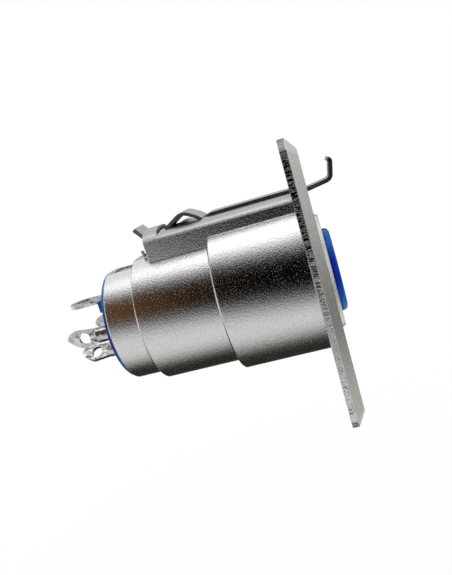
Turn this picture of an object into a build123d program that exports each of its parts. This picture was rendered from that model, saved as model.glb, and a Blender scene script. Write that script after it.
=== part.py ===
from build123d import *
from math import cos, pi, sin
import os

os.makedirs("parts", exist_ok=True)

# Frame: connector axis along Y through the origin, y = 0 on the back face of the
# flange, mating side toward -Y, solder side toward +Y, latch on top at +Z. Millimetres.

# Driving dimensions
small_r = 10.55
rear_step, front_step = 1.25, 1.6
large_y, mid_y, shell_y = 15.9, 30.4, 36.2
flange_margin = 1.2
flange_half_h = 24.2
flange_corner = 1.8
flange_t, flange_edge_t, flange_bevel = 2.6, 1.1, 2.1
cavity_r, cavity_y = 9.6, 11.5
nose_r, nose_y = 7.5, -4.4
collar_y, collar_lip = -3.2, 0.45
pin_circle_r, pin_r = 4.3, 1.2
channel_half_w, channel_y = 5.6, 26.9
crown = 1.2
sheet = 0.4
lever_t = 0.7
pawl_t = 0.6
bridge_t = 0.6
screw_r, screw_edge = 1.6, 5.3

# Clearances
slide_gap = 0.05
seat_gap = 0.1
nest_gap = 0.02

# Shell places
mid_r = small_r + rear_step
large_r = mid_r + front_step
flange_half_w = large_r + flange_margin
cover_top_z = large_r + 1.9
wall_z = cover_top_z - crown
floor_z = mid_r - 0.5
land_rear_z = small_r - 0.45
channel_in = channel_half_w - 1.3
rib_y = cavity_y + 1.5
bore_r = small_r - 1.25
core_r = bore_r - slide_gap
split_y = 22.0
rear_y = shell_y + 0.55
screw_x, screw_z = flange_half_w - screw_edge, flange_half_h - screw_edge
land_y = (mid_y + shell_y) / 2

# Latch places
groove = 0.2
lever_half_w, hump_half_w, tail_half_w = 2.2, 2.6, 3.0
lever_mid = cover_top_z - groove + slide_gap + lever_t / 2
pawl_half_w = 2.6
pawl_front_z = floor_z + 1.4
nest = (lever_t + pawl_t) / 2 + nest_gap
step_y = 15.1
run_y, run_z = step_y + 0.9, pawl_front_z + nest
hump_y, hump_z = step_y + 4.6, cover_top_z + 0.25
tail_root_y, tail_z = hump_y + 2.4, cover_top_z - sheet - 0.63
tail_y = channel_y - 0.15
knuckle_y, knuckle_rise = channel_y - 2.6, 0.65
bridge_half_w = 3.2
bridge_y, bridge_z = step_y + 4.25, cover_top_z + 1.95
slit_half_w, slit = 4.2, 0.45
tooth_z = cavity_r - 0.9
tooth_y = 6.7
wire_r = 0.28
pin_y, pin_z = tail_y - 1.35, floor_z + 1.15
latch_pin_r = 0.5
coil_r = latch_pin_r + wire_r + 0.06
ear_r = 1.0
coil_x = 0.85

# Contact and lug places
contact_places = [(-pin_circle_r, 0.0), (pin_circle_r, 0.0), (0.0, -pin_circle_r)]
sleeve_r, foot_r, stem_r = 1.9, 2.4, 1.45
contact_recess, contact_relief = 1.2, 0.2
foot_y = split_y + 3.2
blade_r, blade_t = 1.75, 0.7
eyelet_r, eyelet_back = 1.1, 3.25
tip_1_y, tip_2_y, tip_3_y = shell_y + 10.45, shell_y + 8.0, shell_y + 10.95
lug_half_w, lug_t, lug_z, lug_y = 2.4, 0.8, 5.3, shell_y + 9.55
tongue_half_w = 1.7


def section_at(y):
    # Plane.XZ faces -Y, so an offset of -y puts the sketch at that y
    return Plane.XZ.offset(-y)


# Shell: one die casting with the flange, collar, three-step barrel and latch channel.
with BuildPart() as shell:
    with BuildSketch(Plane.XY) as barrel_half:
        with BuildLine():
            Polyline((0, -1), (large_r, -1), (large_r, large_y), (mid_r, large_y), (mid_r, mid_y),
                     (small_r, mid_y), (small_r, shell_y), (0, shell_y), close=True)
        make_face()
        rims = [(large_r, large_y), (mid_r, mid_y), (small_r, shell_y)]
        chamfer([v for v in barrel_half.vertices()
                 if any(abs(v.X - r) + abs(v.Y - y) < 0.01 for r, y in rims)], 0.25)
    revolve(axis=Axis.Y)
    # latch channel block, then the flats behind it
    with BuildSketch(section_at(-0.5)) as channel_block:
        with Locations((0, (wall_z + small_r) / 2)):
            Rectangle(2 * channel_half_w, wall_z - small_r)
        chamfer(channel_block.vertices().sort_by(Axis.Z)[-2:], 0.1)
    extrude(amount=-(channel_y + 0.5))
    with BuildSketch(section_at(channel_y)):
        with Locations((0, floor_z + 2)):
            Rectangle(2 * channel_half_w + 1, 4)
    extrude(amount=channel_y - shell_y, mode=Mode.SUBTRACT)
    with BuildSketch(section_at(mid_y)):
        with Locations((0, land_rear_z + 2)):
            Rectangle(2 * channel_half_w + 1, 4)
    extrude(amount=mid_y - shell_y, mode=Mode.SUBTRACT)
    # flange: straight edge strip, then the wide front bevel
    with BuildSketch(section_at(0)) as flange_outline:
        Rectangle(2 * flange_half_w, 2 * flange_half_h)
        chamfer(flange_outline.vertices(), flange_corner)
    extrude(amount=flange_edge_t)
    with BuildSketch(section_at(-flange_edge_t)) as bevel_back:
        Rectangle(2 * flange_half_w, 2 * flange_half_h)
        chamfer(bevel_back.vertices(), flange_corner)
    with BuildSketch(section_at(-flange_t)) as bevel_front:
        Rectangle(2 * (flange_half_w - flange_bevel), 2 * (flange_half_h - flange_bevel))
        chamfer(bevel_front.vertices(), flange_corner / 2)
    loft()
    # raised collar around the mouth
    with BuildSketch(Plane.XY):
        with BuildLine():
            Polyline((cavity_r - 1, -flange_edge_t), (cavity_r + collar_lip + 0.35, -flange_edge_t),
                     (cavity_r + collar_lip + 0.35, -flange_t), (cavity_r + collar_lip, collar_y),
                     (cavity_r - 1, collar_y), close=True)
        make_face()
    revolve(axis=Axis.Y)
    # plug cavity, the hole in its floor, and the bore behind
    with BuildSketch(Plane.XY):
        with BuildLine():
            Polyline((0, nose_y - 1), (cavity_r + 0.25, nose_y - 1), (cavity_r + 0.25, collar_y),
                     (cavity_r, collar_y + 0.3), (cavity_r, cavity_y),
                     (nose_r + slide_gap, cavity_y), (nose_r + slide_gap, rib_y), (bore_r, rib_y),
                     (bore_r, rear_y), (0, rear_y), close=True)
        make_face()
    revolve(axis=Axis.Y, mode=Mode.SUBTRACT)
    # latch channel and the slot for the tooth
    with BuildSketch(section_at(0.8)):
        with Locations((0, floor_z + 2)):
            Rectangle(2 * channel_in, 4)
    extrude(amount=-channel_y, mode=Mode.SUBTRACT)
    with BuildSketch(Plane.XY.offset(cavity_r - 1.5)):
        with Locations((0, tooth_y + 1.2)):
            Rectangle(2 * pawl_half_w, 4.6)
    extrude(amount=floor_z - cavity_r + 2, mode=Mode.SUBTRACT)
    # seat for the cover's front end and slot for the lever, in the flange
    with BuildSketch(section_at(1)):
        with Locations((0, (wall_z + cover_top_z + seat_gap) / 2)):
            Rectangle(2 * (channel_half_w + seat_gap), crown + seat_gap)
    extrude(amount=1.4, mode=Mode.SUBTRACT)
    with BuildSketch(section_at(1)):
        with Locations((0, lever_mid + 0.95)):
            Rectangle(2 * lever_half_w + 0.7, 4)
    extrude(amount=flange_t + 2, mode=Mode.SUBTRACT)
    # window for the ground tongue
    with BuildSketch(Plane.XY.offset(bore_r - 0.5)):
        with Locations((0, land_y + 0.2)):
            Rectangle(2 * tongue_half_w + 1.2, 3.2)
    extrude(amount=small_r - bore_r + 0.5, mode=Mode.SUBTRACT)
    # blind pockets for the latch pin, open at the top
    for side in (-1, 1):
        with BuildSketch(Plane.YZ.offset(side * (channel_in + 0.25))):
            with Locations((pin_y, pin_z)):
                Circle(latch_pin_r + slide_gap)
            with Locations((pin_y, (pin_z + wall_z + seat_gap) / 2)):
                Rectangle(2 * (latch_pin_r + slide_gap), wall_z + seat_gap - pin_z)
        extrude(amount=0.35, both=True, mode=Mode.SUBTRACT)
    # countersunk screw holes in two opposite corners
    for cx, cz in ((-screw_x, screw_z), (screw_x, -screw_z)):
        with BuildSketch(section_at(1)):
            with Locations((cx, cz)):
                Circle(screw_r)
        extrude(amount=flange_t + 2, mode=Mode.SUBTRACT)
        with Locations(Location((cx, 0.7 - flange_t, cz), (90, 0, 0))):
            Cone(bottom_radius=screw_r, top_radius=screw_r + 1.4, height=1.4, mode=Mode.SUBTRACT)
shell.part.label = "shell"
export_step(shell.part, "parts/shell.step")

# Socket insert: blue moulding with the nose that the plug goes over.
with BuildPart() as socket_insert:
    with BuildSketch(Plane.XY):
        with BuildLine():
            Polyline((0, nose_y), (nose_r - 0.8, nose_y), (nose_r - 0.2, nose_y + 0.25),
                     (nose_r, nose_y + 0.8), (nose_r, rib_y), (core_r, rib_y),
                     (core_r, split_y), (0, split_y), close=True)
        make_face()
    revolve(axis=Axis.Y)
    with BuildSketch(section_at(nose_y)):
        with Locations(*contact_places):
            Circle(sleeve_r + slide_gap)
    extrude(amount=nose_y - rib_y, mode=Mode.SUBTRACT)
    # wider behind the nose, so that the contacts slide in from the rear
    with BuildSketch(section_at(rib_y)):
        with Locations(*contact_places):
            Circle(sleeve_r + contact_relief)
    extrude(amount=rib_y - split_y, mode=Mode.SUBTRACT)
    # keyway along the top of the nose
    with BuildSketch(section_at(nose_y - 1)):
        with Locations((0, nose_r)):
            Rectangle(1.8, 1.6)
    extrude(amount=nose_y - 1 - cavity_y, mode=Mode.SUBTRACT)
socket_insert.part.label = "socket_insert"
export_step(socket_insert.part, "parts/socket_insert.step")

# Contact carrier: blue rear moulding, with the thin rim seen around the shell's end.
with BuildPart() as contact_carrier:
    with BuildSketch(Plane.XY) as carrier_half:
        with BuildLine():
            Polyline((0, split_y), (core_r, split_y), (core_r, shell_y), (small_r - 0.4, shell_y),
                     (small_r - 0.4, rear_y), (0, rear_y), close=True)
        make_face()
        chamfer([v for v in carrier_half.vertices()
                 if v.X > 1 and abs(v.Y - rear_y) < 0.01], 0.2)
    revolve(axis=Axis.Y)
    # flat on the rim, level with the shell's rear land
    with BuildSketch(section_at(shell_y)):
        with Locations((0, land_rear_z + 1.9)):
            Rectangle(2 * channel_half_w + 1, 4)
    extrude(amount=shell_y - rear_y - 1, mode=Mode.SUBTRACT)
    # raised key around the ground lug
    with BuildSketch(section_at(shell_y)):
        with Locations((0, lug_z - 0.35)):
            Rectangle(8.4, 2.1)
    extrude(amount=-2.8)
    with BuildSketch(section_at(split_y - 1)):
        with Locations(*contact_places):
            Circle(stem_r + slide_gap)
    extrude(amount=-(shell_y - split_y + 6), mode=Mode.SUBTRACT)
    with BuildSketch(section_at(split_y)):
        with Locations(*contact_places):
            Circle(foot_r + slide_gap)
    extrude(amount=split_y - foot_y, mode=Mode.SUBTRACT)
    # slot for the ground lug: pocket under the shell's window, then the way out at the rear
    with BuildSketch(section_at(land_y - 1.1)):
        with Locations((0, (lug_z + small_r) / 2 - slide_gap)):
            Rectangle(2 * (tongue_half_w + slide_gap), small_r - lug_z)
    extrude(amount=-2.5, mode=Mode.SUBTRACT)
    with BuildSketch(section_at(land_y + 1.2)):
        with Locations((0, lug_z + lug_t / 2)):
            Rectangle(2 * (lug_half_w + slide_gap), lug_t + 2 * slide_gap)
    extrude(amount=-8, mode=Mode.SUBTRACT)
contact_carrier.part.label = "contact_carrier"
export_step(contact_carrier.part, "parts/contact_carrier.step")


# Contacts: turned and slit sockets with a stem that is flattened into a solder eyelet.
# Each is made on the Y axis and moved to its place, with its own eyelet angle.
def make_contact(name, cx, cz, turn, tip_y):
    with BuildPart() as contact:
        front_y = nose_y + contact_recess
        with BuildSketch(Plane.XY):
            with BuildLine():
                Polyline((0, front_y), (sleeve_r, front_y), (sleeve_r, split_y), (foot_r, split_y),
                         (foot_r, foot_y), (stem_r, foot_y), (stem_r, tip_y - 5.9),
                         (blade_t, tip_y - 4.4), (0, tip_y - 4.4), close=True)
            make_face()
        revolve(axis=Axis.Y)
        # eyelet blade, flattened to a blunt point that lies above its middle
        with BuildSketch(Plane.YZ):
            with BuildLine():
                Line((tip_y, 0.65), (tip_y, 0.3))
                ThreePointArc((tip_y, 0.3), (tip_y - 1.2, -0.95), (tip_y - 2.6, -blade_r))
                Polyline((tip_y - 2.6, -blade_r), (tip_y - 6.2, -stem_r + 0.1),
                         (tip_y - 6.2, stem_r - 0.1), (tip_y - 1.9, blade_r))
                ThreePointArc((tip_y - 1.9, blade_r), (tip_y - 0.6, 1.35), (tip_y, 0.65))
            make_face()
            with Locations((tip_y - eyelet_back, 0)):
                Circle(eyelet_r, mode=Mode.SUBTRACT)
        extrude(amount=blade_t / 2, both=True)
        with BuildSketch(Plane.YZ):
            with Locations((tip_y - eyelet_back, 0)):
                Circle(eyelet_r)
        extrude(amount=stem_r, both=True, mode=Mode.SUBTRACT)
        # pin bore, and the slit that lets it spring
        with BuildSketch(section_at(front_y - 1)):
            Circle(pin_r + 0.02)
        extrude(amount=-14.2, mode=Mode.SUBTRACT)
        with BuildSketch(section_at(front_y - 1)):
            with Locations((0, sleeve_r)):
                Rectangle(0.4, 2 * sleeve_r - 0.8)
        extrude(amount=-12.2, mode=Mode.SUBTRACT)
    solid = contact.part.rotate(Axis.Y, turn).moved(Location((cx, 0, cz)))
    solid.label = name
    export_step(solid, f"parts/{name}.step")


make_contact("contact_1", *contact_places[0], turn=0, tip_y=tip_1_y)
make_contact("contact_2", *contact_places[1], turn=0, tip_y=tip_2_y)
make_contact("contact_3", *contact_places[2], turn=48, tip_y=tip_3_y)

# Ground lug: flat blade with an eyelet, and a tongue that shows in the shell's window.
with BuildPart() as ground_lug:
    with BuildSketch(Plane.XY.offset(lug_z)) as blade:
        with Locations(((0, (land_y + 1.3 + lug_y) / 2))):
            Rectangle(2 * lug_half_w, lug_y - land_y - 1.3)
        fillet(blade.vertices().sort_by(Axis.Y)[-2:], lug_half_w - 0.2)
        with Locations((0, lug_y - 2.45)):
            Circle(1.3, mode=Mode.SUBTRACT)
    extrude(amount=lug_t)
    with BuildSketch(Plane.YZ):
        with BuildLine():
            Polyline((land_y + 0.7, lug_z), (land_y + 1.6, lug_z), (land_y + 1.6, lug_z + lug_t),
                     (land_y + 1.3, lug_z + lug_t), (land_y + 1.3, bore_r + 0.6),
                     (land_y - 0.9, bore_r + 0.6), (land_y - 0.9, bore_r), (land_y + 0.7, bore_r),
                     close=True)
        make_face()
    extrude(amount=tongue_half_w, both=True)
ground_lug.part.label = "ground_lug"
export_step(ground_lug.part, "parts/ground_lug.step")

# Latch cover: crowned sheet over the channel. A groove guides the lever to the slot where it
# goes below, a bridge behind it holds the lever's hump down, and the rear is a raised knuckle.
edge_x, inner_x, flat_x = channel_half_w - 0.05, channel_half_w - 0.7, lever_half_w + 0.4
under_z = cover_top_z - sheet
with BuildPart() as latch_cover:
    with BuildSketch(section_at(-0.3)):
        with BuildLine():
            Line((-edge_x, wall_z), (-edge_x + 0.15, wall_z + 0.2))
            ThreePointArc((-edge_x + 0.15, wall_z + 0.2), ((-edge_x - flat_x) / 2, cover_top_z - 0.25),
                          (-flat_x, cover_top_z))
            Line((-flat_x, cover_top_z), (flat_x, cover_top_z))
            ThreePointArc((flat_x, cover_top_z), ((edge_x + flat_x) / 2, cover_top_z - 0.25),
                          (edge_x - 0.15, wall_z + 0.2))
            Polyline((edge_x - 0.15, wall_z + 0.2), (edge_x, wall_z), (inner_x, wall_z))
            ThreePointArc((inner_x, wall_z), ((inner_x + flat_x) / 2, under_z - 0.2), (flat_x, under_z))
            Line((flat_x, under_z), (-flat_x, under_z))
            ThreePointArc((-flat_x, under_z), ((-inner_x - flat_x) / 2, under_z - 0.2),
                          (-inner_x, wall_z))
            Line((-inner_x, wall_z), (-edge_x, wall_z))
        make_face()
    extrude(amount=-(knuckle_y + 0.3))
    # guide groove, then the slot for the lever, the opening below the bridge and the rear slit
    slot_y, slot_end_y = step_y - lever_t / 2 - 0.15, step_y + lever_t / 2 + 0.4
    bridge_end_y = knuckle_y - 1.4
    with BuildSketch(Plane.XY.offset(cover_top_z - groove)):
        with Locations((0, (slot_y - 1) / 2)):
            Rectangle(2 * (lever_half_w + 0.15), slot_y + 1)
    extrude(amount=1, mode=Mode.SUBTRACT)
    with BuildSketch(Plane.XY.offset(wall_z - 1)):
        with Locations((0, (slot_y + slot_end_y) / 2)):
            Rectangle(2 * (lever_half_w + 0.15), slot_end_y - slot_y)
        with Locations((0, (slot_end_y + 0.5 + bridge_end_y) / 2)):
            Rectangle(2 * (bridge_half_w + slide_gap), bridge_end_y - slot_end_y - 0.5)
        with Locations((0, knuckle_y - slit / 2)):
            Rectangle(2 * slit_half_w, slit)
    extrude(amount=crown + 2, mode=Mode.SUBTRACT)
    # bridge, pressed up out of the sheet
    with BuildSketch(Plane.YZ):
        with BuildLine():
            FilletPolyline((slot_end_y + 0.35, under_z + 0.3), (slot_end_y + 1.35, under_z + 1.1),
                           (bridge_y, bridge_z), (bridge_end_y, under_z + 0.3),
                           radius=(1.5, 2.0))
        trace(line_width=bridge_t)
    extrude(amount=bridge_half_w, both=True)
    top_z = cover_top_z + knuckle_rise
    with BuildSketch(section_at(knuckle_y)):
        with BuildLine():
            Line((-edge_x, wall_z), (-edge_x + 0.15, wall_z + 0.2))
            Spline((-edge_x + 0.15, wall_z + 0.2), (-edge_x + 1.3, cover_top_z), (0, top_z),
                   (edge_x - 1.3, cover_top_z), (edge_x - 0.15, wall_z + 0.2))
            Polyline((edge_x - 0.15, wall_z + 0.2), (edge_x, wall_z), (inner_x, wall_z))
            Spline((inner_x, wall_z), (inner_x - 1, under_z), (0, top_z - sheet),
                   (1 - inner_x, under_z), (-inner_x, wall_z))
            Line((-inner_x, wall_z), (-edge_x, wall_z))
        make_face()
    extrude(amount=knuckle_y - channel_y)
latch_cover.part.label = "latch_cover"
export_step(latch_cover.part, "parts/latch_cover.step")

# Latch lever: spring-steel strip with a finger tab, a step down through the cover's slot, a
# hump under the bridge, and a tail that passes under the knuckle and turns up behind it.
with BuildPart() as latch_lever:
    with BuildSketch(Plane.YZ):
        with BuildLine():
            FilletPolyline((-6.9, lever_mid + 3.65), (-7.5, lever_mid + 3.3),
                           (-6.85, lever_mid + 0.2), (-2.7, lever_mid - 0.45), (-0.5, lever_mid),
                           (step_y, lever_mid), (step_y, run_z), (run_y, run_z),
                           (hump_y, hump_z), (tail_root_y, tail_z), (tail_y, tail_z),
                           (tail_y + 1.8, tail_z + 2.33),
                           radius=(0.4, 1.1, 0.75, 0.75, 0.5, 0.4, 0.5, 1.5, 0.6, 0.6))
        trace(line_width=lever_t)
    extrude(amount=tail_half_w, both=True)
    # plan outline: narrow to the step, wider at the hump and at the tail
    with BuildSketch(Plane.XY.offset(run_z - 2)):
        with BuildLine():
            Polyline((-lever_half_w, -9), (lever_half_w, -9), (lever_half_w, run_y),
                     (hump_half_w, run_y + 1.2), (hump_half_w, knuckle_y),
                     (tail_half_w, tail_y), (tail_half_w, tail_y + 4), (-tail_half_w, tail_y + 4),
                     (-tail_half_w, tail_y), (-hump_half_w, knuckle_y),
                     (-hump_half_w, run_y + 1.2), (-lever_half_w, run_y), close=True)
        make_face()
    extrude(amount=9, mode=Mode.INTERSECT)
    tab_corners = [e for e in latch_lever.edges() if abs(e.length - lever_t) < 0.01
                   and e.center().Z > lever_mid + 3 and abs(e.center().X) > lever_half_w - 0.01]
    fillet(tab_corners, 0.35)
latch_lever.part.label = "latch_lever"
export_step(latch_lever.part, "parts/latch_lever.step")

# Latch pawl: formed sheet nested under the lever's hump, with the tooth that catches the
# plug in front, two ears on the latch pin at the rear, and an opening for the spring's coil.
with BuildPart() as latch_pawl:
    rise = (hump_z - run_z) / (hump_y - run_y)
    fall = (hump_z - tail_z) / (tail_root_y - hump_y)
    rise_drop, fall_drop = nest * (1 + rise ** 2) ** 0.5, nest * (1 + fall ** 2) ** 0.5
    peak_y = hump_y + (rise_drop - fall_drop) / (rise + fall)
    rear_z = tail_z - nest
    with BuildSketch(Plane.YZ):
        with BuildLine():
            FilletPolyline((tooth_y + 0.5, pawl_front_z),
                           (run_y + (rise_drop - nest) / rise, pawl_front_z),
                           (peak_y, hump_z - fall * (peak_y - hump_y) - fall_drop),
                           (tail_root_y + (nest - fall_drop) / fall, rear_z),
                           (tail_y - 0.35, rear_z), radius=(1.1, 0.8, 1.2))
        trace(line_width=pawl_t)
    extrude(amount=pawl_half_w, both=True)
    with BuildSketch(Plane.XY.offset(rear_z - 1)):
        with Locations((0, pin_y)):
            Rectangle(2 * coil_x + 1, 2 * (coil_r + wire_r) + 0.2)
    extrude(amount=2, mode=Mode.SUBTRACT)
    with BuildSketch(Plane.YZ):
        with BuildLine():
            Polyline((tooth_y, pawl_front_z + pawl_t / 2), (tooth_y, tooth_z + 2.3),
                     (tooth_y + 0.7, tooth_z + 0.2), (tooth_y + 1.2, tooth_z),
                     (tooth_y + 2, tooth_z), (tooth_y + 2.4, tooth_z + 0.7),
                     (tooth_y + 2.4, pawl_front_z + pawl_t / 2), close=True)
        make_face()
    extrude(amount=pawl_half_w - 0.6, both=True)
    for side in (-1, 1):
        with BuildSketch(Plane.YZ.offset(side * (pawl_half_w - pawl_t / 2))):
            with Locations((pin_y, pin_z)):
                Circle(ear_r)
            with Locations((pin_y, (pin_z + rear_z) / 2)):
                Rectangle(2 * ear_r, rear_z - pin_z)
            with Locations((pin_y, pin_z)):
                Circle(latch_pin_r + slide_gap, mode=Mode.SUBTRACT)
        extrude(amount=pawl_t / 2, both=True)
latch_pawl.part.label = "latch_pawl"
export_step(latch_pawl.part, "parts/latch_pawl.step")

# Latch pin: plain cross pin that the latch turns on, and that carries the spring.
with BuildPart() as latch_pin:
    with BuildSketch(Plane.YZ):
        with Locations((pin_y, pin_z)):
            Circle(latch_pin_r)
    extrude(amount=channel_in + 0.55, both=True)
latch_pin.part.label = "latch_pin"
export_step(latch_pin.part, "parts/latch_pin.step")

# Latch spring: torsion coil round the pin. Its upper leg bears on the underside of the
# tail, and its lower leg runs out along the floor and is bent aside and up behind it. The
# wire is eight-sided, and each turn is drawn with twelve mitred lengths.
coil_turns, turn_steps = 2.5, 12
low_z, high_z = pin_z - coil_r, pin_z + coil_r
coil_points = []
for step in range(int(coil_turns * turn_steps) + 1):
    angle = 2 * pi * step / turn_steps
    coil_points.append((coil_x * (2 * step / (coil_turns * turn_steps) - 1),
                        pin_y - coil_r * sin(angle), pin_z - coil_r * cos(angle)))
with BuildPart() as latch_spring:
    with BuildLine() as wire:
        Polyline((-tail_half_w - 0.1, channel_y + 1.3, low_z + 1.05),
                 (-tail_half_w, channel_y + 1.15, low_z + 0.15),
                 (-coil_x, channel_y + 1.1, low_z + 0.1), *coil_points,
                 (coil_x, tail_y + 0.3, high_z), (coil_x, tail_y + 0.75, tail_z - 0.4))
    with BuildSketch(Plane(origin=wire.line @ 0, z_dir=wire.line % 0)):
        RegularPolygon(wire_r, 8)
    sweep(transition=Transition.RIGHT)
latch_spring.part.label = "latch_spring"
export_step(latch_spring.part, "parts/latch_spring.step")
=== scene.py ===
import bpy
import numpy as np
from mathutils import Matrix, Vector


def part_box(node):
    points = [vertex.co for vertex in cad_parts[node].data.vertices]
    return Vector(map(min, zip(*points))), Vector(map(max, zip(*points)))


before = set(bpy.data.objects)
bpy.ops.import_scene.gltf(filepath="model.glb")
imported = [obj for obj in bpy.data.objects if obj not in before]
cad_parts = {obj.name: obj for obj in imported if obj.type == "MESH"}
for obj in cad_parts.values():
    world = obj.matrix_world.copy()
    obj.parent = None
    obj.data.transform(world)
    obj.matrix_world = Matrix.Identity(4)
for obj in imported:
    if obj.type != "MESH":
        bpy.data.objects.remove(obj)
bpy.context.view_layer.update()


# Shell. One zinc die casting, tumbled and nickel-plated: flange with a wide bevel, barrel in
# three steps, latch channel. Its skin is a fine pebbled grain. The flange's narrow edges were
# trimmed after casting, and are smoother and finely scratched; their colour is painted darker
# towards the top, a painted dark reflection.
pebble_size, pebble_detail, pebble_harsh = 0.0003, 3.0, 0.75
pebble_depth = 0.00005
pebble_low, pebble_high = 0.36, 0.6
nickel_dark, nickel_light = (0.74, 0.735, 0.72), (0.88, 0.875, 0.86)
speck_size, speck_detail = 0.0002, 1.0
speck_from, speck_full = 0.56, 0.7
polished, matt = 0.08, 0.42
edge_radius, edge_samples = 0.00026, 4
shell_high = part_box("shell")[1]
corner_cut = 0.0022
side_slack, upright_slack = 0.00002, 0.1
scratch_size, scratch_detail, scratch_stretch = 0.00018, 2.0, (1, 6, 0.8)
scratch_cut, scratch_gain = 0.53, 10.0
trim_top, trim_fade = 0.010, 0.012
painted_dark_reflection, trim_light = (0.3, 0.295, 0.28), (0.85, 0.845, 0.83)


def coloured(name, colour, metallic, roughness):
    """A new Principled material with these values on its sockets, its tree and its shader."""
    made = bpy.data.materials.new(name)
    made.use_nodes = True
    shader = made.node_tree.nodes["Principled BSDF"]
    shader.inputs["Base Color"].default_value = (*colour, 1)
    shader.inputs["Metallic"].default_value = metallic
    shader.inputs["Roughness"].default_value = roughness
    return made, made.node_tree, shader


def dress(material, *names):
    """The CAD nodes of these names get this material alone."""
    for name in names:
        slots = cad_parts[name].data.materials
        slots.clear()
        slots.append(material)


def split(tree, vector):
    """The X, Y and Z sockets of a vector."""
    parts = tree.nodes.new("ShaderNodeSeparateXYZ")
    tree.links.new(vector, parts.inputs["Vector"])
    return parts.outputs["X"], parts.outputs["Y"], parts.outputs["Z"]


def grain(tree, size, detail=2.0, stretch=(1, 1, 1), harsh=0.5):
    """Noise on Object coordinates with lumps about size metres across, stretched by axis.

    harsh is the share that each finer octave keeps of the one before."""
    place = tree.nodes.new("ShaderNodeTexCoord")
    mapping = tree.nodes.new("ShaderNodeMapping")
    mapping.inputs["Scale"].default_value = tuple(1 / (size * s) for s in stretch)
    noise = tree.nodes.new("ShaderNodeTexNoise")
    noise.inputs["Scale"].default_value = 1
    noise.inputs["Detail"].default_value = detail
    noise.inputs["Roughness"].default_value = harsh
    tree.links.new(place.outputs["Object"], mapping.inputs["Vector"])
    tree.links.new(mapping.outputs["Vector"], noise.inputs["Vector"])
    return noise.outputs["Fac"]


def tint(tree, amount, *stops):
    """Colour ramp over amount, from (place, colour) stops."""
    ramp = tree.nodes.new("ShaderNodeValToRGB")
    ends = ramp.color_ramp.elements
    while len(ends) < len(stops):
        ends.new(0.5)
    for end, (place, colour) in zip(ends, stops):
        end.position = place
        end.color = (*colour, 1)
    tree.links.new(amount, ramp.inputs["Fac"])
    return ramp.outputs["Color"]


def sums(tree, how, a, b=0.0, clamp=False):
    """Math node: how is its operation, a and b are sockets or numbers."""
    node = tree.nodes.new("ShaderNodeMath")
    node.operation = how
    node.use_clamp = clamp
    for socket, value in zip(node.inputs, (a, b)):
        if isinstance(value, (int, float)):
            socket.default_value = value
        else:
            tree.links.new(value, socket)
    return node.outputs[0]


def dimple(tree, shader, height, depth, smooth=None):
    """Bump on the shader's normal; depth in metres is the height of a full step.

    smooth is the normal that it starts from, if not the mesh's own."""
    node = tree.nodes.new("ShaderNodeBump")
    node.inputs["Strength"].default_value = 1
    node.inputs["Distance"].default_value = depth
    tree.links.new(height, node.inputs["Height"])
    if smooth:
        tree.links.new(smooth, node.inputs["Normal"])
    tree.links.new(node.outputs["Normal"], shader.inputs["Normal"])


nickel, tree, shader = coloured("nickel_casting", nickel_light, 1.0, polished)
place = tree.nodes.new("ShaderNodeTexCoord")
x, _, z = split(tree, place.outputs["Object"])
_, facing_y, _ = split(tree, place.outputs["Normal"])
upright = sums(tree, "LESS_THAN", sums(tree, "ABSOLUTE", facing_y), upright_slack)
on_end = sums(tree, "GREATER_THAN", sums(tree, "ABSOLUTE", z), shell_high.z - corner_cut)
on_corner = sums(tree, "MULTIPLY", upright, on_end)
on_side = sums(tree, "GREATER_THAN", sums(tree, "ABSOLUTE", x), shell_high.x - side_slack)
on_trim = sums(tree, "MAXIMUM", on_side, on_corner)

pebbles = grain(tree, pebble_size, pebble_detail, harsh=pebble_harsh)
scratches = grain(tree, scratch_size, scratch_detail, scratch_stretch)
ticks = sums(tree, "SUBTRACT", scratches, scratch_cut, clamp=True)
ticks = sums(tree, "MULTIPLY", ticks, scratch_gain)
relief = sums(tree, "ADD", sums(tree, "MULTIPLY", pebbles, sums(tree, "SUBTRACT", 1, on_trim)),
              sums(tree, "MULTIPLY", ticks, on_trim))

# Painted reflection: lower_down fades the trimmed edges from a painted dark reflection at the top
# to plain nickel low down.
lower_down = sums(tree, "DIVIDE", sums(tree, "SUBTRACT", trim_top, z), trim_fade, clamp=True)
skin = tree.nodes.new("ShaderNodeMix")
skin.data_type = "RGBA"
tree.links.new(on_trim, skin.inputs["Factor"])
tree.links.new(tint(tree, pebbles, (pebble_low, nickel_dark), (pebble_high, nickel_light)),
               skin.inputs["A"])
tree.links.new(tint(tree, lower_down, (0.0, painted_dark_reflection), (1.0, trim_light)), skin.inputs["B"])
tree.links.new(skin.outputs["Result"], shader.inputs["Base Color"])

specks = grain(tree, speck_size, speck_detail)
gloss = tint(tree, specks, (speck_from, (polished,) * 3), (speck_full, (matt,) * 3))
tree.links.new(sums(tree, "MAXIMUM", gloss, sums(tree, "MULTIPLY", on_corner, matt)),
               shader.inputs["Roughness"])
worn_edges = tree.nodes.new("ShaderNodeBevel")
worn_edges.samples = edge_samples
worn_edges.inputs["Radius"].default_value = edge_radius
dimple(tree, shader, relief, pebble_depth, worn_edges.outputs["Normal"])
dress(nickel, "shell")


# Blue mouldings. The socket insert, with the nose that the plug goes over, and the contact
# carrier behind it, with its rim at the shell's end. Glossy nylon with a faint flow mark,
# painted lighter towards the top and bottom as painted light, and darker on the carrier.
blue_deep, blue_painted_light = (0.0, 0.02, 0.36), (0.015, 0.19, 0.5)
carrier_deep, carrier_painted_light = (0.0, 0.03, 0.17), (0.01, 0.15, 0.42)
deep_z, deep_reach, painted_light_reach = 0.001, 0.002, 0.008
flow_size, flow_detail, flow_depth, flow_streak = 0.0012, 3.0, 0.00002, 0.2
nylon_rough, nylon_specular = 0.22, 0.1
nylon_sheen, sheen_rough, sheen_blue = 0.3, 0.35, (0.05, 0.5, 0.9)


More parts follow.
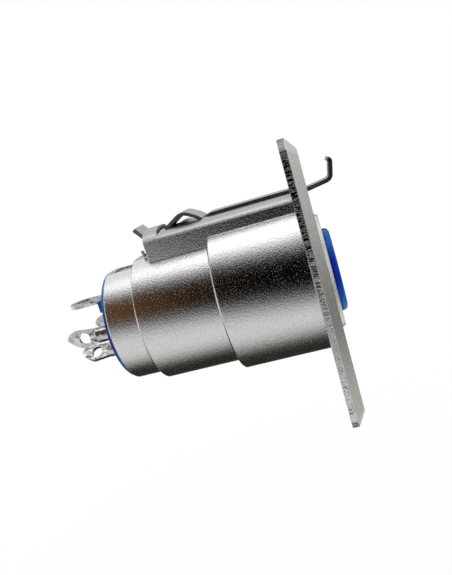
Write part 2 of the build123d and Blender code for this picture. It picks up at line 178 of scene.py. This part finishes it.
def nylon(name, deep, clear):
    """Blue nylon: deep within deep_reach of deep_z, and lighter above or below it, up to the colour
    clear, as painted light.
    """
    made, tree, shader = coloured(name, deep, 0.0, nylon_rough)
    shader.inputs["Specular IOR Level"].default_value = nylon_specular
    shader.inputs["Sheen Weight"].default_value = nylon_sheen
    shader.inputs["Sheen Roughness"].default_value = sheen_rough
    shader.inputs["Sheen Tint"].default_value = (*sheen_blue, 1)
    flow = grain(tree, flow_size, flow_detail)
    place = tree.nodes.new("ShaderNodeTexCoord")
    _, _, z = split(tree, place.outputs["Object"])
    off_middle = sums(tree, "ABSOLUTE", sums(tree, "SUBTRACT", z, deep_z))
    streaks = sums(tree, "MULTIPLY", sums(tree, "SUBTRACT", flow, 0.5), flow_streak)
    # Painted light: the colour grows lighter away from deep_z towards the top and bottom, with the
    # flow streaks mixed in.
    painted_light_and_flow = sums(tree, "ADD", sums(tree, "DIVIDE", off_middle, painted_light_reach), streaks)
    tree.links.new(tint(tree, painted_light_and_flow, (deep_reach / painted_light_reach, deep), (1.0, clear)),
                   shader.inputs["Base Color"])
    dimple(tree, shader, flow, flow_depth)
    return made


dress(nylon("blue_nylon", blue_deep, blue_painted_light), "socket_insert")
dress(nylon("dark_blue_nylon", carrier_deep, carrier_painted_light), "contact_carrier")


# Contacts and ground lug. Turned and stamped copper alloy, bright tin-silver plate, with
# soft hammered waves behind the shell, where the ends were flattened.
silver_dark, silver_light = (0.5, 0.495, 0.48), (0.86, 0.855, 0.84)
silver_rough = 0.18
wave_size, wave_detail, wave_depth = 0.0013, 1.5, 0.0002
wave_low, wave_high = 0.35, 0.65

silver, tree, shader = coloured("silver_plate", silver_light, 1.0, silver_rough)
waves = grain(tree, wave_size, wave_detail)
tree.links.new(tint(tree, waves, (wave_low, silver_dark), (wave_high, silver_light)),
               shader.inputs["Base Color"])
place = tree.nodes.new("ShaderNodeTexCoord")
_, y, _ = split(tree, place.outputs["Object"])
flattened = sums(tree, "GREATER_THAN", y, shell_high.y)
dimple(tree, shader, sums(tree, "MULTIPLY", waves, flattened), wave_depth)
dress(silver, "contact_1", "contact_2", "contact_3", "ground_lug")


# Latch cover, lever, pawl, pin and spring. Pressed and bent steel with a dull nickel plate,
# drawn steel for the pin and the spring.
steel_dark, steel_light = (0.38, 0.38, 0.365), (0.52, 0.52, 0.5)
steel_rough = 0.3
mill_size, mill_detail, mill_depth = 0.0002, 2.0, 0.00003
mill_low, mill_high = 0.35, 0.65

steel, tree, shader = coloured("sheet_steel", steel_light, 1.0, steel_rough)
mill_grain = grain(tree, mill_size, mill_detail)
tree.links.new(tint(tree, mill_grain, (mill_low, steel_dark), (mill_high, steel_light)),
               shader.inputs["Base Color"])
dimple(tree, shader, mill_grain, mill_depth)
dress(steel, "latch_cover", "latch_lever", "latch_pawl", "latch_pin", "latch_spring")


# Camera, as fitted to the photograph: angles in degrees, distance in metres, focal length
# in pixels of the 452 x 575 photograph.
azimuth, elevation, roll = np.radians([79.68, 11.43, 16.73])
distance = 0.10555
focal_px, photo_height = 574.6, 575
sensor_mm, near_clip = 24.0, 0.005
target = np.array([0.0, 0.01607, 0.00172])

back = np.array([-np.cos(elevation) * np.sin(azimuth), -np.cos(elevation) * np.cos(azimuth),
                 np.sin(elevation)])
side = np.cross(-back, (0, 0, 1))
side /= np.linalg.norm(side)
up = np.cross(side, -back)
across = np.cos(roll) * side - np.sin(roll) * up
upward = np.sin(roll) * side + np.cos(roll) * up
camera_data = bpy.data.cameras.new("camera")
camera_data.sensor_fit = "VERTICAL"
camera_data.sensor_height = sensor_mm
camera_data.lens = focal_px / photo_height * sensor_mm
camera_data.clip_start = near_clip
camera = bpy.data.objects.new("camera", camera_data)
bpy.context.scene.collection.objects.link(camera)
camera.matrix_world = Matrix([[across[i], upward[i], back[i], target[i] + distance * back[i]]
                              for i in range(3)] + [[0, 0, 0, 1]])
bpy.context.scene.camera = camera
bpy.context.scene.view_settings.view_transform = "Standard"


# Floor, well below the connector, which hangs by its panel screws. White, and keeping a fifth
# of its own shading under the connector, so that the shadow shows.
floor_z, floor_half = -0.09, 2
floor_colour, floor_rough = (0.9, 0.9, 0.9), 0.9
white_under, white_away = (0.8, 0.8, 0.8), (1, 1, 1)
fade_from, fade_to = 0.11, 0.2


def sheet(name, points, material):
    """Grid of points (rows, columns, 3) made into a staged mesh of four-sided faces."""
    rows, columns = points.shape[:2]
    index = np.arange(rows * columns).reshape(rows, columns)
    faces = np.stack([index[:-1, :-1], index[:-1, 1:], index[1:, 1:], index[1:, :-1]], -1)
    mesh = bpy.data.meshes.new(name)
    mesh.from_pydata(points.reshape(-1, 3).tolist(), [], faces.reshape(-1, 4).tolist())
    mesh.materials.append(material)
    made = bpy.data.objects.new(name, mesh)
    bpy.context.scene.collection.objects.link(made)
    return made


def white_where_seen(tree, plain, white, share=1.0):
    """The plain surface for light, and for camera, glass and mirror rays a share of the white."""
    paths = tree.nodes.new("ShaderNodeLightPath")
    seen = sums(tree, "MAXIMUM", paths.outputs["Is Camera Ray"],
                paths.outputs["Is Transmission Ray"])
    seen = sums(tree, "MAXIMUM", seen, paths.outputs["Is Glossy Ray"])
    mix = tree.nodes.new("ShaderNodeMixShader")
    tree.links.new(sums(tree, "MULTIPLY", seen, share), mix.inputs["Fac"])
    tree.links.new(plain, mix.inputs[1])
    tree.links.new(white, mix.inputs[2])
    return mix.outputs["Shader"]


def level_floor(x, y):
    """Level plane: every point x, y at the height floor_z."""
    return np.stack([x, y, np.full_like(x, floor_z)], -1)


floor, tree, shader = coloured("floor", floor_colour, 0.0, floor_rough)
glow = tree.nodes.new("ShaderNodeEmission")
place = tree.nodes.new("ShaderNodeTexCoord")
from_middle = tree.nodes.new("ShaderNodeVectorMath")
from_middle.operation = "LENGTH"
tree.links.new(place.outputs["Object"], from_middle.inputs[0])
whiteness = tint(tree, from_middle.outputs["Value"], (fade_from, white_under),
                 (fade_to, white_away))
tree.links.new(white_where_seen(tree, shader.outputs["BSDF"], glow.outputs["Emission"], whiteness),
               tree.nodes["Material Output"].inputs["Surface"])
floor_span = np.linspace(-floor_half, floor_half, 3)
sheet("floor", level_floor(*np.meshgrid(floor_span, floor_span)), floor)


# World: white where it is seen or mirrored, and a plain even light on the object otherwise.
# No sky and no picture.
daylight = 0.75

world = bpy.data.worlds.new("world")
bpy.context.scene.world = world
world.use_nodes = True
tree = world.node_tree
plain = tree.nodes["Background"]
plain.inputs["Color"].default_value = (1, 1, 1, 1)
plain.inputs["Strength"].default_value = daylight
white = tree.nodes.new("ShaderNodeBackground")
white.inputs["Color"].default_value = (1, 1, 1, 1)
tree.links.new(white_where_seen(tree, plain.outputs[0], white.outputs[0]),
               tree.nodes["World Output"].inputs["Surface"])


# Backdrop: a cloth hung all round the connector, which glows and is seen only in reflections,
# as painted reflections of a studio. Black at eye height, brown towards the solder end, light
# grey below with a painted shadow under the connector, and white overhead, glowing brighter
# than white as a painted softbox. The side at +X has a narrower black band and the wider
# painted shadow.
cloth_r = 0.085
cloth_front, cloth_rear, cloth_columns = -0.06, 0.35, 121
painted_shadow_at, painted_shadow_soft = -1.6, 0.72
dark_at, dark_soft, dark_tilt = -0.69, 0.62, 0.49
bright_at, bright_soft, bright_tilt = 0.8, 1.0, 0.22
cloth_grey, painted_shadow_grey, black_share, bright_grey = 0.75, 0.022, 0.1, 2.4
far_painted_shadow_at, far_painted_shadow_soft = -0.75, 0.45
far_bright_at, far_bright_soft, far_bright_grey = -0.1, 0.7, 0.85
painted_shadow_front, painted_shadow_front_soft = -0.4, 0.35
warm_turn, warm_turn_soft = 0.3, 0.55
warm_climb, warm_climb_soft = -0.6, 0.3
warm_half, brown_half, brown_full = 0.45, (0.045, 0.018, 0.008), (0.13, 0.066, 0.026)
olive, lilac = (1.0, 1.0, 0.9), (0.97, 0.97, 1.0)


def rise(tree, start, width, angle):
    """0 up to start and 1 from a width beyond it, with an S-shaped slope between them.

    x is the share of the width that is gone, and the slope x squared times three less two x."""
    x = sums(tree, "DIVIDE", sums(tree, "SUBTRACT", angle, start), width, clamp=True)
    return sums(tree, "MULTIPLY", sums(tree, "MULTIPLY", x, x),
                sums(tree, "SUBTRACT", 3, sums(tree, "MULTIPLY", x, 2)))


def by_channel(tree, how, a, b):
    """Vector Math node on two colours: how is its operation."""
    node = tree.nodes.new("ShaderNodeVectorMath")
    node.operation = how
    tree.links.new(a, node.inputs[0])
    tree.links.new(b, node.inputs[1])
    return node.outputs[0]


def shine_only(tree, colour):
    """The material gives off this colour and mirrors or scatters nothing."""
    shine = tree.nodes.new("ShaderNodeEmission")
    tree.links.new(colour, shine.inputs["Color"])
    tree.links.new(shine.outputs[0], tree.nodes["Material Output"].inputs["Surface"])


def mirrored_only(card):
    """The card is seen in reflections and nowhere else, and shades nothing."""
    card.visible_camera = False
    card.visible_diffuse = False
    card.visible_transmission = False
    card.visible_shadow = False


def hung_cloth(angle, along):
    """Tube round the Y axis: minus X and Z are cloth_r times the angle's cosine and sine."""
    return np.stack([-cloth_r * np.cos(angle), along, cloth_r * np.sin(angle)], -1)


cloth, tree, _ = coloured("backdrop_cloth", (0, 0, 0), 0.0, 1.0)
place = tree.nodes.new("ShaderNodeTexCoord")
x, y, z = split(tree, place.outputs["Object"])
# climb is the angle above the horizon, and turn how far along Y, in cloth radii.
climb = sums(tree, "ARCTAN2", z, sums(tree, "ABSOLUTE", x))
turn = sums(tree, "DIVIDE", y, cloth_r)
far = sums(tree, "GREATER_THAN", x, 0)
near = sums(tree, "SUBTRACT", 1, far)

# Painted shadow: a dark patch low down under the connector, standing in for its shadow on the
# floor.
above_painted_shadow = sums(tree, "MINIMUM", rise(tree, painted_shadow_at, painted_shadow_soft, climb),
                  sums(tree, "MAXIMUM", rise(tree, far_painted_shadow_at, far_painted_shadow_soft, climb), near))
in_front = sums(tree, "SUBTRACT", 1, rise(tree, painted_shadow_front, painted_shadow_front_soft, turn))
above_painted_shadow = sums(tree, "MAXIMUM", above_painted_shadow, in_front)
below_black = sums(tree, "SUBTRACT", climb, sums(tree, "MULTIPLY", turn, dark_tilt))
below_black = sums(tree, "SUBTRACT", 1, rise(tree, dark_at, dark_soft, below_black))
lower = sums(tree, "MULTIPLY", below_black, cloth_grey - painted_shadow_grey)
lower = sums(tree, "ADD", sums(tree, "MULTIPLY", lower, above_painted_shadow), painted_shadow_grey * black_share)
in_painted_shadow = sums(tree, "SUBTRACT", 1, above_painted_shadow)
lower = sums(tree, "ADD", lower, sums(tree, "MULTIPLY", in_painted_shadow, painted_shadow_grey))

# Painted softbox: overhead the cloth glows up to bright_grey, brighter than white, for the
# highlights on the metal.
raised = sums(tree, "SUBTRACT", climb, sums(tree, "MULTIPLY", turn, bright_tilt))
upper = sums(tree, "MULTIPLY", rise(tree, bright_at, bright_soft, raised), bright_grey)
far_upper = sums(tree, "MULTIPLY", rise(tree, far_bright_at, far_bright_soft, climb),
                 far_bright_grey)
upper = sums(tree, "MAXIMUM", upper, sums(tree, "MULTIPLY", far_upper, far))

greys = by_channel(tree, "MULTIPLY", sums(tree, "MAXIMUM", lower, upper),
                   tint(tree, above_painted_shadow, (0.0, olive), (1.0, lilac)))
warm = sums(tree, "MULTIPLY", rise(tree, warm_turn, warm_turn_soft, turn),
            rise(tree, warm_climb, warm_climb_soft, climb))
browns = tint(tree, warm, (0.0, (0.0, 0.0, 0.0)), (warm_half, brown_half), (1.0, brown_full))
shine_only(tree, by_channel(tree, "MAXIMUM", greys, browns))
round_it = np.linspace(-np.pi, np.pi, cloth_columns)
mirrored_only(sheet("backdrop_cloth", hung_cloth(*np.meshgrid(round_it, [cloth_front, cloth_rear])),
                    cloth))


# Grey card in front of the mating side, which glows and is seen only in reflections, as a painted
# reflection that the flange's bevel shows: mid grey, darkest below the middle. Its stops are
# share of the height, red and green, blue.
card_y, card_low, card_tall = -0.06, -0.06, 0.1
card_sides, card_ends = (-0.05, 0.12), (-0.085, 0.12)
card_greys = ((0.08, 0.5, 0.47), (0.17, 0.42, 0.39), (0.27, 0.3, 0.28), (0.33, 0.17, 0.16),
              (0.42, 0.19, 0.18), (0.52, 0.31, 0.3), (0.62, 0.43, 0.42), (0.74, 0.48, 0.47),
              (0.8, 0.57, 0.56))


def upright_card(x, z):
    """Upright plane: every point x, z at the same card_y."""
    return np.stack([x, np.full_like(x, card_y), z], -1)


grey_card, tree, _ = coloured("grey_card", (0, 0, 0), 0.0, 1.0)
place = tree.nodes.new("ShaderNodeTexCoord")
_, _, z = split(tree, place.outputs["Object"])
height = sums(tree, "DIVIDE", sums(tree, "SUBTRACT", z, card_low), card_tall, clamp=True)
shine_only(tree, tint(tree, height, *((at, (grey, grey, blue)) for at, grey, blue in card_greys)))
mirrored_only(sheet("grey_card", upright_card(*np.meshgrid(card_sides, card_ends)), grey_card))


# Soft light. One wide lamp overhead, weak beside the even light of the world, for a soft
# shadow on the floor.
lamp_width, lamp_length, lamp_z, lamp_watts = 0.5, 0.8, 0.5, 1.5

soft_light = bpy.data.lights.new("soft_light", "AREA")
soft_light.shape = "RECTANGLE"
soft_light.size, soft_light.size_y = lamp_width, lamp_length
soft_light.energy = lamp_watts
lamp = bpy.data.objects.new("soft_light", soft_light)
bpy.context.scene.collection.objects.link(lamp)
lamp.location = (0.0, 0.0, lamp_z)
